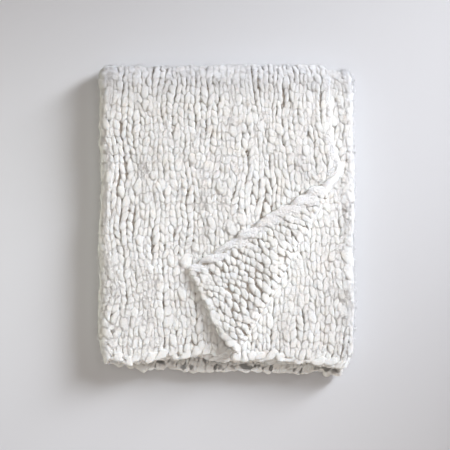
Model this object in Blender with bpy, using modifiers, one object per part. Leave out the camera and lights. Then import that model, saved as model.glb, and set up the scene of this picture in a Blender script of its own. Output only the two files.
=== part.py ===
"""A chunky knit blanket, folded in thirds, then in half, with one top corner turned back.

The blanket is one knitted panel. Its flat sheet is cut along the fold lines and every point is
moved by the same three folds: a letter fold in thirds, a fold in half at the back, and a soft
diagonal roll that lays the front right corner of the top layer back over itself.
Units are metres, +Z is up, the front edge faces -Y, and the origin is the bottom centre.
"""

import math

import bmesh
import bpy
from mathutils import Vector

# ---- driving dimensions ------------------------------------------------------------------
CLOTH = 0.009  # thickness of the knitted cloth
PITCH = 0.012  # height from one layer to the next, with a little air between them
PANEL_WIDTH = 1.53  # the flat blanket, from selvedge to selvedge
PANEL_LENGTH = 1.26  # the flat blanket, from cast-on to bind-off

PACK_LEFT = -0.2663  # outer faces of the folded blanket
PACK_RIGHT = 0.2647
PACK_BACK = 0.3209
TOP_SELVEDGE = 0.2327  # x of the free side edge of the top layer
FRONT_UPPER = (-0.2971, -0.2881)  # y of the front edges, innermost and outermost layer
FRONT_LOWER = (-0.3181, -0.3141)

CORNER_FROM = Vector((0.2327, -0.2881))  # where the turned corner would lie
CORNER_TO = Vector((-0.0893, -0.1041))  # where it lies
ROLL_BACK = 0.0075  # radius of the roll at its back end, and at the front edge
ROLL_FRONT = 0.0130
ROLL_SETTLE = 0.1100  # how far from the roll the flap has come down onto the layer below

EDGE_DRAW = 0.0200  # how far the top layer's side edge leans in at the back
FRONT_SLANT = 0.0040  # the front edge lies this much further out at the right than at the middle
SOFT_CORNERS = (  # side in x, side in y, width and length of the corner, how far it is drawn in
    (1, 1, 0.160, 0.046, 0.006),
    (-1, -1, 0.150, 0.070, 0.017),
    (1, -1, 0.150, 0.048, 0.010),
)
SIDE_WAVES = ((0.0016, 9.0, 1.0), (0.0010, 23.0, 0.0))  # height, radians a metre, phase
END_WAVES = ((0.0015, 11.0, 0.4),)
SWELL_WAVES = (  # height, radians a metre in x and in y, phase
    (0.0015, 17.0, 5.0, 0.6),
    (0.0009, -9.0, 21.0, 2.0),
    (0.0006, 33.0, -14.0, 0.0),
)
CREASE_STEPS = 6  # facets in a half turn at the sides
BACK_STEPS = 10  # facets in the half turn at the back
CELL = 0.042  # largest facet on the flats
SLIVER = 0.0020  # marks of the roll and of the grid that cross closer than this share a point

# ---- derived sizes -----------------------------------------------------------------------
LEFT_TURN = PITCH  # mid-surface radius of the wide left turn and of the tight right turn
RIGHT_TURN = PITCH / 2
INNER_TURN = PITCH / 2  # radius of the innermost layer in the half fold
LAYERS_IN_HALF = 3
TOP_RISE = (LAYERS_IN_HALF - 1) * PITCH  # the top panel above the middle panel

LEFT_AXIS = PACK_LEFT + LEFT_TURN + CLOTH / 2
RIGHT_AXIS = PACK_RIGHT - RIGHT_TURN - CLOTH / 2
BACK_AXIS = PACK_BACK - INNER_TURN - TOP_RISE - CLOTH / 2
MID_HEIGHT = INNER_TURN + TOP_RISE + CLOTH / 2

TOP_PANEL = TOP_SELVEDGE - LEFT_AXIS
LEFT_ARC = math.pi * LEFT_TURN
MIDDLE_PANEL = RIGHT_AXIS - LEFT_AXIS
RIGHT_ARC = math.pi * RIGHT_TURN
MIDDLE_START = TOP_PANEL + LEFT_ARC
INNER_START = MIDDLE_START + MIDDLE_PANEL + RIGHT_ARC

HALF_LENGTH = PANEL_LENGTH / 2
BACK_ARC = 0.055  # flat length on each side of the half fold that holds the turn

ROLL_ACROSS = (CORNER_FROM - CORNER_TO).normalized()
ROLL_ALONG = Vector((-ROLL_ACROSS.y, ROLL_ACROSS.x))
ROLL_MEAN = (ROLL_BACK + ROLL_FRONT) / 2
ROLL_START = -((CORNER_FROM - CORNER_TO).length + math.pi * ROLL_MEAN) / 2
ROLL_REACH = 0.36  # length of the roll from the front edge to the selvedge


def smooth(value):
    """Ease from 0 to 1 as value goes from 0 to 1."""
    value = min(max(value, 0.0), 1.0)
    return value * value * (3 - 2 * value)


def letter_fold(u):
    """Fold in thirds: distance across the flat sheet to (x, height over the middle panel)."""
    if u < TOP_PANEL:
        return TOP_SELVEDGE - u, TOP_RISE
    if u < MIDDLE_START:
        turn = (u - TOP_PANEL) / LEFT_TURN
        return LEFT_AXIS - LEFT_TURN * math.sin(turn), LEFT_TURN * (1 + math.cos(turn))
    if u < MIDDLE_START + MIDDLE_PANEL:
        return LEFT_AXIS + u - MIDDLE_START, 0.0
    if u < INNER_START:
        turn = (u - MIDDLE_START - MIDDLE_PANEL) / RIGHT_TURN
        return RIGHT_AXIS + RIGHT_TURN * math.sin(turn), RIGHT_TURN * (1 - math.cos(turn))
    return RIGHT_AXIS - (u - INNER_START), PITCH


def half_fold(v, height):
    """Fold in half at the back: distance from the fold line to (y, z).

    Each layer turns at its own radius, and the knit gives a little so that every layer
    ends at the front edge of its own half.
    """
    radius = INNER_TURN + height
    inner, outer = FRONT_UPPER if v > 0 else FRONT_LOWER
    front = inner + (outer - inner) * height / TOP_RISE
    quarter = math.pi * radius / 2
    side = math.copysign(1.0, v)
    if abs(v) < BACK_ARC:
        turn = abs(v) / BACK_ARC * math.pi / 2
        return BACK_AXIS + radius * math.cos(turn), MID_HEIGHT + side * radius * math.sin(turn)
    share = (abs(v) - BACK_ARC) / (HALF_LENGTH - BACK_ARC)
    return BACK_AXIS + (front - BACK_AXIS) * share, MID_HEIGHT + side * radius


def roll_corner(x, y):
    """Turn the corner back round the diagonal roll: (x, y) to (x, y, rise)."""
    offset = Vector((x, y)) - CORNER_FROM
    beyond = offset.dot(ROLL_ACROSS) - ROLL_START
    if beyond <= 0:
        return x, y, 0.0
    along = offset.dot(ROLL_ALONG)
    radius = ROLL_FRONT + (ROLL_BACK - ROLL_FRONT) * smooth(along / ROLL_REACH)
    if beyond < math.pi * radius:
        across = radius * math.sin(beyond / radius)
        rise = radius * (1 - math.cos(beyond / radius))
    else:
        back = beyond - math.pi * radius
        across = -back
        rise = 2 * radius + (PITCH - 2 * radius) * smooth(back / ROLL_SETTLE)
    place = CORNER_FROM + ROLL_ALONG * along + ROLL_ACROSS * (ROLL_START + across)
    return place.x, place.y, rise


def ease_outline(x, y):
    """Draw the corners of the pack in a little and let its sides wander, as soft cloth does."""
    across = x / PACK_RIGHT
    depth = y / PACK_BACK
    for side_x, side_y, width, length, amount in SOFT_CORNERS:
        near_x = smooth((side_x * x - PACK_RIGHT) / width + 1)
        near_y = smooth((side_y * y - PACK_BACK) / length + 1)
        x -= side_x * amount * near_x * near_y
    x += abs(across) * sum(high * math.sin(rate * y + phase) for high, rate, phase in SIDE_WAVES)
    y += depth * sum(high * math.sin(rate * x + phase) for high, rate, phase in END_WAVES)
    y -= FRONT_SLANT * across * smooth(-depth)
    return x, y


def swell(x, y, z):
    """Low rises and dips, none at the underside and full at the top."""
    lift = smooth((z - CLOTH) / (2 * MID_HEIGHT - 2 * CLOTH))
    return lift * sum(
        high * math.sin(rate_x * x + rate_y * y + phase)
        for high, rate_x, rate_y, phase in SWELL_WAVES
    )


def edge_draw(v):
    """How far the top panel's side edge is drawn in along the length: most at the back."""
    return EDGE_DRAW * smooth((v + 0.16) / 0.18) * smooth((0.30 - v) / 0.26)


def folded(u, v):
    """Where a point of the flat sheet lies in the folded blanket."""
    x, height = letter_fold(u)
    y, z = half_fold(v, height)
    rise = 0.0
    if u < TOP_PANEL:
        x -= edge_draw(v) * smooth(x / TOP_SELVEDGE)
        if v > BACK_ARC:
            x, y, rise = roll_corner(x, y)
    x, y = ease_outline(x, y)
    return x, y, z + rise + swell(x, y, z)


def steps(start, end, count):
    """The ends and inner marks of a stretch divided evenly."""
    return [start + (end - start) * i / count for i in range(count + 1)]


def flat_steps(start, end):
    return steps(start, end, math.ceil((end - start) / CELL))


def fold_lines():
    """Cut marks across the width and along the length of the flat sheet."""
    across = set(
        flat_steps(0.0, TOP_PANEL)
        + steps(TOP_PANEL, MIDDLE_START, CREASE_STEPS)
        + flat_steps(MIDDLE_START, MIDDLE_START + MIDDLE_PANEL)
        + steps(MIDDLE_START + MIDDLE_PANEL, INNER_START, CREASE_STEPS)
        + flat_steps(INNER_START, PANEL_WIDTH)
    )
    along = set(
        flat_steps(-HALF_LENGTH, -BACK_ARC)
        + steps(-BACK_ARC, BACK_ARC, BACK_STEPS)
        + flat_steps(BACK_ARC, HALF_LENGTH)
    )
    return sorted(across)[1:-1], sorted(along)[1:-1]


def cut(bm, point, normal, inside=None):
    """Cut the flat sheet along a line, all of it or only the faces that pass a test."""
    faces = [f for f in bm.faces if inside is None or inside(f.calc_center_median())]
    edges = {e for f in faces for e in f.edges}
    verts = {v for f in faces for v in f.verts}
    bmesh.ops.bisect_plane(
        bm, geom=[*verts, *edges, *faces], dist=1e-6, plane_co=point, plane_no=normal
    )


def roll_lines():
    """Cut marks for the diagonal roll, as distances beyond its start."""
    turn = math.pi * ROLL_MEAN
    return steps(0.0, turn, CREASE_STEPS + 2) + [turn + 0.35 * ROLL_SETTLE, turn + 0.7 * ROLL_SETTLE]


def flat_sheet():
    """The flat blanket, cut along every fold."""
    bm = bmesh.new()
    bmesh.ops.create_grid(bm, x_segments=1, y_segments=1, size=0.5)
    for vert in bm.verts:
        vert.co.x = (vert.co.x + 0.5) * PANEL_WIDTH
        vert.co.y = vert.co.y * PANEL_LENGTH
    across, along = fold_lines()
    for u in across:
        cut(bm, Vector((u, 0, 0)), Vector((1, 0, 0)))
    for v in along:
        cut(bm, Vector((0, v, 0)), Vector((0, 1, 0)))
    stretch = (FRONT_UPPER[1] - BACK_AXIS) / (BACK_ARC - HALF_LENGTH)
    normal = Vector((-ROLL_ACROSS.x, -ROLL_ACROSS.y * stretch, 0))
    corner = Vector((0.0, HALF_LENGTH, 0.0))
    for beyond in roll_lines():
        point = corner + normal * (ROLL_START + beyond) / normal.length_squared
        cut(bm, point, normal, lambda c: c.x < TOP_PANEL and c.y > BACK_ARC)
    rolled = [v for v in bm.verts if v.co.x < TOP_PANEL and v.co.y > BACK_ARC]
    bmesh.ops.remove_doubles(bm, verts=rolled, dist=SLIVER)
    bmesh.ops.triangulate(bm, faces=[f for f in bm.faces if len(f.verts) > 4])
    return bm


def make_wool():
    """Undyed off-white wool."""
    material = bpy.data.materials.new("wool")
    material.use_nodes = True
    shader = material.node_tree.nodes["Principled BSDF"]
    shader.inputs["Base Color"].default_value = (0.86, 0.845, 0.82, 1.0)
    shader.inputs["Roughness"].default_value = 0.9
    shader.inputs["Metallic"].default_value = 0.0
    return material


def make_blanket(collection):
    """The folded sheet, thickened to one closed solid."""
    bm = flat_sheet()
    for vert in bm.verts:
        vert.co = Vector(folded(vert.co.x, vert.co.y))
    mesh = bpy.data.meshes.new("blanket")
    bm.to_mesh(mesh)
    bm.free()
    mesh.shade_smooth()
    mesh.materials.append(make_wool())
    blanket = bpy.data.objects.new("blanket", mesh)
    collection.objects.link(blanket)
    thicken = blanket.modifiers.new("cloth thickness", "SOLIDIFY")
    thicken.thickness = CLOTH
    thicken.offset = 0.0
    thicken.use_even_offset = False
    return blanket


def main():
    for obj in list(bpy.data.objects):
        bpy.data.objects.remove(obj, do_unlink=True)
    collection = bpy.data.collections.new("folded knit blanket")
    bpy.context.scene.collection.children.link(collection)
    make_blanket(collection)


if __name__ == "__main__":
    main()
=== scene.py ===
"""A chunky knit blanket, folded in thirds and in half, with one top corner turned back.

The cloth is modelled as its yarn. Every course of stockinette is a looping thick-and-thin yarn,
drawn in the flat sheet, swept to a tube by a Geometry Nodes tree and then carried through the
same folds as the solid. Twisted edges, a backing sheet and stray fibres follow the same path.
"""

import logging
import math
from collections.abc import Callable, Iterator, Sequence
from dataclasses import dataclass, field
from enum import Enum

import bpy
import numpy as np
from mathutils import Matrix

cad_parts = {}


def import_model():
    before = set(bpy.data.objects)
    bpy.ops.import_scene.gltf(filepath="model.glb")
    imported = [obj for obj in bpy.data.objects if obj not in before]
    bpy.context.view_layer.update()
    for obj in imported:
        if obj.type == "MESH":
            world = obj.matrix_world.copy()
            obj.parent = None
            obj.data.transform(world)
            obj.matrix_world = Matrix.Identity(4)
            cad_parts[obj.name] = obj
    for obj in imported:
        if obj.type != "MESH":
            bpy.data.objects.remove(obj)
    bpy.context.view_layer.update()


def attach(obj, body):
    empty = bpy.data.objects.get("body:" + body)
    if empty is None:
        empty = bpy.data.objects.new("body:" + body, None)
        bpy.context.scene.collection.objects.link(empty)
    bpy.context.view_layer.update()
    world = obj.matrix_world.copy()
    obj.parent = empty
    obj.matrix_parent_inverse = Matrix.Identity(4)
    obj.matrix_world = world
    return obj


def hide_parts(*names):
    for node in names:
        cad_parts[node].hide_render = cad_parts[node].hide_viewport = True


LOG = logging.getLogger("blanket")
BODY = "root"
NODE = "blanket"
YARN_RADIUS = 0.0046
HOLLOW_DEPTH = 0.0036  # yarn nearer than this to the cloth's middle surface takes the hollows' painted shade
HOLLOW_STEEPNESS = 1.7
HOLLOW_MARGIN = 0.016  # the hollows' painted shade fades over this much near the front edges
FACE_FADE = 0.0015  # shading as the cloth's face fades out this near its middle surface
FACE_STEP = 1e-4  # half the distance between the two places that show which way the cloth faces
TINY = 1e-9  # least length that a direction is divided by
EDGE_NUMBER = 100.0  # yarns of the edges are numbered from here, past those of the courses


def smooth(value: np.ndarray | float) -> np.ndarray:
    """Ease from 0 to 1 as a value goes from 0 to 1."""
    value = np.clip(value, 0.0, 1.0)
    return value * value * (3 - 2 * value)


# ---- folding ------------------------------------------------------------------------------
@dataclass(frozen=True)
class Fold:
    """The folded pack: its sizes in metres, the same as the solid's, and the folding itself.

    A flat place is (u, v): u across the sheet from the top layer's free side edge, v along it
    from the fold at the back, positive in the upper half. A height n is over the cloth's middle
    surface, towards the knit side.
    """

    cloth: float = 0.009
    pitch: float = 0.012
    width: float = 1.53
    length: float = 1.26
    left: float = -0.2663
    right: float = 0.2647
    back: float = 0.3209
    top_selvedge: float = 0.2327
    front_upper: tuple[float, float] = (-0.2971, -0.2881)
    front_lower: tuple[float, float] = (-0.3181, -0.3141)
    front_slant: float = 0.0040
    corner_from: tuple[float, float] = (0.2327, -0.2881)
    corner_to: tuple[float, float] = (-0.0893, -0.1041)
    roll_back: float = 0.0075
    roll_front: float = 0.0112
    roll_settle: float = 0.1100
    roll_reach: float = 0.36
    back_arc: float = 0.055
    tightest: float = 0.1  # the inside of a turn keeps at least this share of its radius
    edge_draw: float = 0.0200
    edge_draw_from: tuple[float, float] = (-0.16, 0.18)  # v where it starts, and over
    edge_draw_until: tuple[float, float] = (0.30, 0.26)  # v where it has ended, and over
    soft_corners: tuple[tuple[float, ...], ...] = (  # side x, side y, width, length, drawn in by
        (1, 1, 0.160, 0.046, 0.006),
        (-1, -1, 0.150, 0.070, 0.017),
        (1, -1, 0.150, 0.060, 0.018),
    )
    front_laps: tuple[tuple[float, ...], ...] = (  # side x, from, over, how far the upper half hangs out
        (-1, 0.105, 0.090, 0.019),
        (1, 0.060, 0.150, 0.011),
    )
    lap_from: tuple[float, float] = (0.20, 0.09)  # how far in front of the middle, and over
    side_waves: tuple[tuple[float, ...], ...] = ((0.0016, 9.0, 1.0), (0.0010, 23.0, 0.0))
    end_waves: tuple[tuple[float, ...], ...] = ((0.0015, 11.0, 0.4),)  # height, rate, phase
    left_slope: float = 0.012
    left_slope_from: tuple[float, float] = (-0.08, 0.36)  # x, and over
    swell_waves: tuple[tuple[float, ...], ...] = (  # height, rate in x and in y, phase
        (0.0015, 17.0, 5.0, 0.6),
        (0.0009, -9.0, 21.0, 2.0),
        (0.0006, 33.0, -14.0, 0.0),
    )
    floor_ease: float = 0.0015

    @property
    def left_turn(self) -> float:
        """Radius of the side turn on the left."""
        return self.pitch

    @property
    def right_turn(self) -> float:
        """Radius of the side turn on the right."""
        return self.pitch / 2

    @property
    def top_rise(self) -> float:
        """Height of the top layer over the middle panel."""
        return 2 * self.pitch

    @property
    def mid_height(self) -> float:
        """Height of the plane between the two halves."""
        return self.pitch / 2 + self.top_rise + self.cloth / 2

    @property
    def left_axis(self) -> float:
        """Where the left turn is centred in x."""
        return self.left + self.left_turn + self.cloth / 2

    @property
    def right_axis(self) -> float:
        """Where the right turn is centred in x."""
        return self.right - self.right_turn - self.cloth / 2

    @property
    def back_axis(self) -> float:
        """Where the turn at the back is centred in y."""
        return self.back - self.mid_height

    @property
    def top_panel(self) -> float:
        """Where the top panel ends and the left turn starts, in u."""
        return self.top_selvedge - self.left_axis

    @property
    def middle_start(self) -> float:
        """Where the middle panel starts, in u."""
        return self.top_panel + math.pi * self.left_turn

    @property
    def middle_end(self) -> float:
        """Where the middle panel ends, in u."""
        return self.middle_start + self.right_axis - self.left_axis

    @property
    def inner_start(self) -> float:
        """Where the inner panel starts, in u."""
        return self.middle_end + math.pi * self.right_turn

    @property
    def half_length(self) -> float:
        """Length of each half of the sheet."""
        return self.length / 2

    @property
    def corner_way(self) -> np.ndarray:
        """From where the turned corner lands to where it was."""
        return np.array(self.corner_from) - np.array(self.corner_to)

    def letter(self, u: np.ndarray, n: np.ndarray) -> tuple[np.ndarray, np.ndarray, np.ndarray]:
        """Fold in thirds.

        Args:
            u: flat places across the sheet.
            n: heights over the middle surface.

        Returns:
            x, height over the middle panel, and the same height for n = 0.
        """
        left = (u - self.top_panel) / self.left_turn
        right = (u - self.middle_end) / self.right_turn
        outer = np.maximum(self.right_turn + n, self.tightest * self.right_turn)
        cases = [u < self.top_panel, u < self.middle_start, u < self.middle_end, u < self.inner_start]
        x = np.select(
            cases,
            [
                self.top_selvedge - u,
                self.left_axis - (self.left_turn + n) * np.sin(left),
                self.left_axis + u - self.middle_start,
                self.right_axis + outer * np.sin(right),
            ],
            self.right_axis - (u - self.inner_start),
        )
        middle = np.select(
            cases,
            [
                self.top_rise + 0 * u,
                self.left_turn * (1 + np.cos(left)),
                0 * u,
                self.right_turn * (1 - np.cos(right)),
            ],
            self.pitch,
        )
        height = np.select(
            cases,
            [
                self.top_rise + n,
                self.left_turn + (self.left_turn + n) * np.cos(left),
                -n,
                self.right_turn - outer * np.cos(right),
            ],
            self.pitch + n,
        )
        return x, height, middle

    def half(self, v: np.ndarray, height: np.ndarray, middle: np.ndarray) -> tuple[np.ndarray, np.ndarray]:
        """Fold in half at the back.

        Args:
            v: flat places along the sheet.
            height: heights over the middle panel.
            middle: the same heights for the cloth's middle surface.

        Returns:
            y and z.
        """
        inner = self.pitch / 2
        radius = np.maximum(inner + height, self.tightest * inner)
        share = middle / self.top_rise
        upper, lower = self.front_upper, self.front_lower
        front = np.where(
            v > 0,
            upper[0] + (upper[1] - upper[0]) * share,
            lower[0] + (lower[1] - lower[0]) * share,
        )
        turn = np.abs(v) / self.back_arc * math.pi / 2
        run = (np.abs(v) - self.back_arc) / (self.half_length - self.back_arc)
        turning = np.abs(v) < self.back_arc
        axis = self.back_axis
        y = np.where(turning, axis + radius * np.cos(turn), axis + (front - axis) * run)
        rise = radius * np.where(turning, np.sin(turn), 1.0)
        return y, self.mid_height + np.where(v > 0, rise, -rise)

    def roll_distance(self, x: np.ndarray, y: np.ndarray) -> tuple[np.ndarray, np.ndarray]:
        """Where points of the top layer lie from the roll.

        Args:
            x, y: places on the unrolled top layer.

        Returns:
            How far each lies beyond the start of the roll, and along it.
        """
        way = self.corner_way
        reach = np.linalg.norm(way)
        across = way / reach
        start = -(reach + math.pi * (self.roll_back + self.roll_front) / 2) / 2
        dx, dy = x - self.corner_from[0], y - self.corner_from[1]
        return dx * across[0] + dy * across[1] - start, dy * across[0] - dx * across[1]

    def roll_corner(
        self, x: np.ndarray, y: np.ndarray, z: np.ndarray, n: np.ndarray
    ) -> tuple[np.ndarray, np.ndarray, np.ndarray]:
        """Turn the corner of the top layer back round the diagonal roll.

        Args:
            x, y, z: places on the unrolled top layer.
            n: heights over the middle surface.

        Returns:
            x, y and z with the corner turned.
        """
        beyond, along = self.roll_distance(x, y)
        radius = self.roll_front + (self.roll_back - self.roll_front) * smooth(along / self.roll_reach)
        turn = np.clip(beyond / radius, 0.0, math.pi)
        back = np.maximum(beyond - math.pi * radius, 0.0)
        settle = (self.pitch - 2 * radius) * smooth(back / self.roll_settle)
        across = (radius - n) * np.sin(turn) - back
        rise = radius - (radius - n) * np.cos(turn) + settle - n
        rolled = beyond > 0
        shift = np.where(rolled, across - beyond, 0.0)
        way = self.corner_way / np.linalg.norm(self.corner_way)
        return x + shift * way[0], y + shift * way[1], z + np.where(rolled, rise, 0.0)

    def draw_in(self, v: np.ndarray) -> np.ndarray:
        """How far the top panel's side edge is drawn in along the length: most at the back."""
        (start, rise), (end, fall) = self.edge_draw_from, self.edge_draw_until
        return self.edge_draw * smooth((v - start) / rise) * smooth((end - v) / fall)

    def ease_outline(self, x: np.ndarray, y: np.ndarray) -> tuple[np.ndarray, np.ndarray]:
        """Draw the corners of the pack in a little and let its sides wander.

        Args:
            x, y: places in the folded pack.

        Returns:
            x and y, moved.
        """
        across, depth = x / self.right, y / self.back
        for side_x, side_y, width, length, amount in self.soft_corners:
            near_x = smooth((side_x * x - self.right) / width + 1)
            near_y = smooth((side_y * y - self.back) / length + 1)
            x = x - side_x * amount * near_x * near_y
        x = x + np.abs(across) * sum(high * np.sin(rate * y + at) for high, rate, at in self.side_waves)
        y = y + depth * sum(high * np.sin(rate * x + at) for high, rate, at in self.end_waves)
        return x, y - self.front_slant * across * smooth(-depth)

    def lap(self, x: np.ndarray, y: np.ndarray) -> np.ndarray:
        """How far the upper half's front edge hangs forward near its two corners.

        Args:
            x, y: places in the folded pack.

        Returns:
            How far each place is moved forward.
        """
        near = smooth((-y - self.lap_from[0]) / self.lap_from[1])
        return near * sum(
            amount * smooth((side * x - start) / over) for side, start, over, amount in self.front_laps
        )

    def swell(self, x: np.ndarray, y: np.ndarray, z: np.ndarray) -> np.ndarray:
        """Low rises and dips, none at the underside and full at the top.

        Args:
            x, y, z: places in the folded pack.

        Returns:
            How far each place is raised.
        """
        lift = smooth((z - self.cloth) / (2 * self.mid_height - 2 * self.cloth))
        waves = sum(
            high * np.sin(rate_x * x + rate_y * y + at) for high, rate_x, rate_y, at in self.swell_waves
        )
        start, over = self.left_slope_from
        return lift * (waves - self.left_slope * smooth((start - x) / over))

    def place(self, flat: np.ndarray) -> np.ndarray:
        """Carry points of the flat sheet into the folded blanket.

        Args:
            flat: rows of (u, v, n).

        Returns:
            Rows of (x, y, z).
        """
        u, v, n = flat[:, 0], flat[:, 1], flat[:, 2]
        x, height, middle = self.letter(u, n)
        y, z = self.half(v, height, middle)
        top = u < self.top_panel
        x = np.where(top, x - self.draw_in(v) * smooth(x / self.top_selvedge), x)
        rolled = self.roll_corner(x, y, z, n)
        turned = top & (v > self.back_arc)
        x, y, z = (np.where(turned, new, old) for new, old in zip(rolled, (x, y, z)))
        x, y = self.ease_outline(x, y)
        y = y - np.where(v > 0, self.lap(x, y), 0.0)
        z = z + self.swell(x, y, z)
        z = self.floor_ease * np.logaddexp(0.0, z / self.floor_ease)
        return np.stack([x, y, z], axis=1)


# ---- node trees ---------------------------------------------------------------------------
@dataclass(frozen=True)
class Value:
    """A node's output socket, with arithmetic that adds Math nodes to its tree."""

    graph: "Graph"
    socket: bpy.types.NodeSocket

    def __add__(self, other: "Value | float") -> "Value":
        """Sum."""
        return self.graph.math("ADD", self, other)

    def __sub__(self, other: "Value | float") -> "Value":
        """Difference."""
        return self.graph.math("SUBTRACT", self, other)

    def __rsub__(self, other: float) -> "Value":
        """Difference from a number."""
        return self.graph.math("SUBTRACT", other, self)

    def __mul__(self, other: "Value | float") -> "Value":
        """Product."""
        return self.graph.math("MULTIPLY", self, other)

    def __truediv__(self, other: "Value | float") -> "Value":
        """Quotient."""
        return self.graph.math("DIVIDE", self, other)

    __radd__ = __add__
    __rmul__ = __mul__


class Blend(Enum):
    """What a Mix node blends, and its inputs and output by number, because their names repeat."""

    COLOURS = ("RGBA", 6, 7, 2)
    VECTORS = ("VECTOR", 4, 5, 1)


@dataclass
class Graph:
    """Adds nodes to one tree through one method."""

    tree: bpy.types.NodeTree

    def node(self, kind: str, inputs: dict | None = None, out: int | str = 0, **settings) -> Value:
        """Add a node.

        Args:
            kind: the node's type name.
            inputs: socket name or index to a Value to link, or a plain value to set.
            out: name or index of the output to return.
            **settings: properties set on the node before its sockets.

        Returns:
            The chosen output socket.
        """
        made = self.tree.nodes.new(kind)
        for key, value in settings.items():
            setattr(made, key, value)
        for key, value in (inputs or {}).items():
            if isinstance(value, Value):
                self.tree.links.new(value.socket, made.inputs[key])
            else:
                made.inputs[key].default_value = value
        return Value(self, made.outputs[out] if made.outputs else None)

    def math(self, operation: str, *items: Value | float) -> Value:
        """Add a Math node."""
        return self.node("ShaderNodeMath", dict(enumerate(items)), operation=operation)

    def vector_math(self, operation: str, *items: Value | Sequence[float]) -> Value:
        """Add a Vector Math node."""
        return self.node("ShaderNodeVectorMath", dict(enumerate(items)), operation=operation)

    def combine(self, **parts: Value | float) -> Value:
        """Make a vector of X, Y and Z."""
        return self.node("ShaderNodeCombineXYZ", parts)

    def ramp(self, value: Value, start: float, end: float, low: float, high: float) -> Value:
        """Map a value's range start to end onto low to high, clamped."""
        keys = ("Value", "From Min", "From Max", "To Min", "To Max")
        return self.node("ShaderNodeMapRange", dict(zip(keys, (value, start, end, low, high))))

    def noise(self, vector: Value, scale: Value | float, detail: float) -> Value:
        """Soft noise, about 0.5."""
        return self.node("ShaderNodeTexNoise", {"Vector": vector, "Scale": scale, "Detail": detail})

    def mix(
        self,
        share: Value,
        first: Value | Sequence[float],
        second: Value | Sequence[float],
        blend: Blend = Blend.COLOURS,
        **how: str,
    ) -> Value:
        """Blend two colours or vectors.

        Args:
            share: how much of the second there is.
            first, second: what is blended; a plain colour is its red, green and blue.
            blend: which of the node's inputs and outputs are used.
            **how: more settings of the node.

        Returns:
            The blend.
        """
        kind, one, two, out = blend.value
        inputs = {0: share}
        for key, item in ((one, first), (two, second)):
            plain_colour = blend is Blend.COLOURS and not isinstance(item, Value)
            inputs[key] = (*item, 1.0) if plain_colour else item
        return self.node("ShaderNodeMix", inputs, out, data_type=kind, **how)


class YarnInput(Enum):
    """The named inputs of the yarn tree, with socket type and default."""

    RADIUS = ("Yarn Radius", "NodeSocketFloat", YARN_RADIUS)
    SLUB_DEPTH = ("Slub Depth", "NodeSocketFloat", 1.3)
    SLUB_LENGTH = ("Slub Length", "NodeSocketFloat", 0.030)
    LUMP_DEPTH = ("Lump Depth", "NodeSocketFloat", 1.1)
    LUMP_LENGTH = ("Lump Length", "NodeSocketFloat", 0.0105)
    WANDER = ("Wander", "NodeSocketFloat", 0.0480)
    WANDER_SCALE = ("Wander Scale", "NodeSocketFloat", 9.0)
    JITTER = ("Jitter", "NodeSocketFloat", 0.0130)
    JITTER_SCALE = ("Jitter Scale", "NodeSocketFloat", 30.0)
    FLUFF = ("Fluff", "NodeSocketFloat", 0.0024)
    FLUFF_SCALE = ("Fluff Scale", "NodeSocketFloat", 200.0)
    SIDES = ("Sides", "NodeSocketInt", 8)
    SEED = ("Seed", "NodeSocketFloat", 3.7)
    MATERIAL = ("Material", "NodeSocketMaterial", None)


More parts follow.
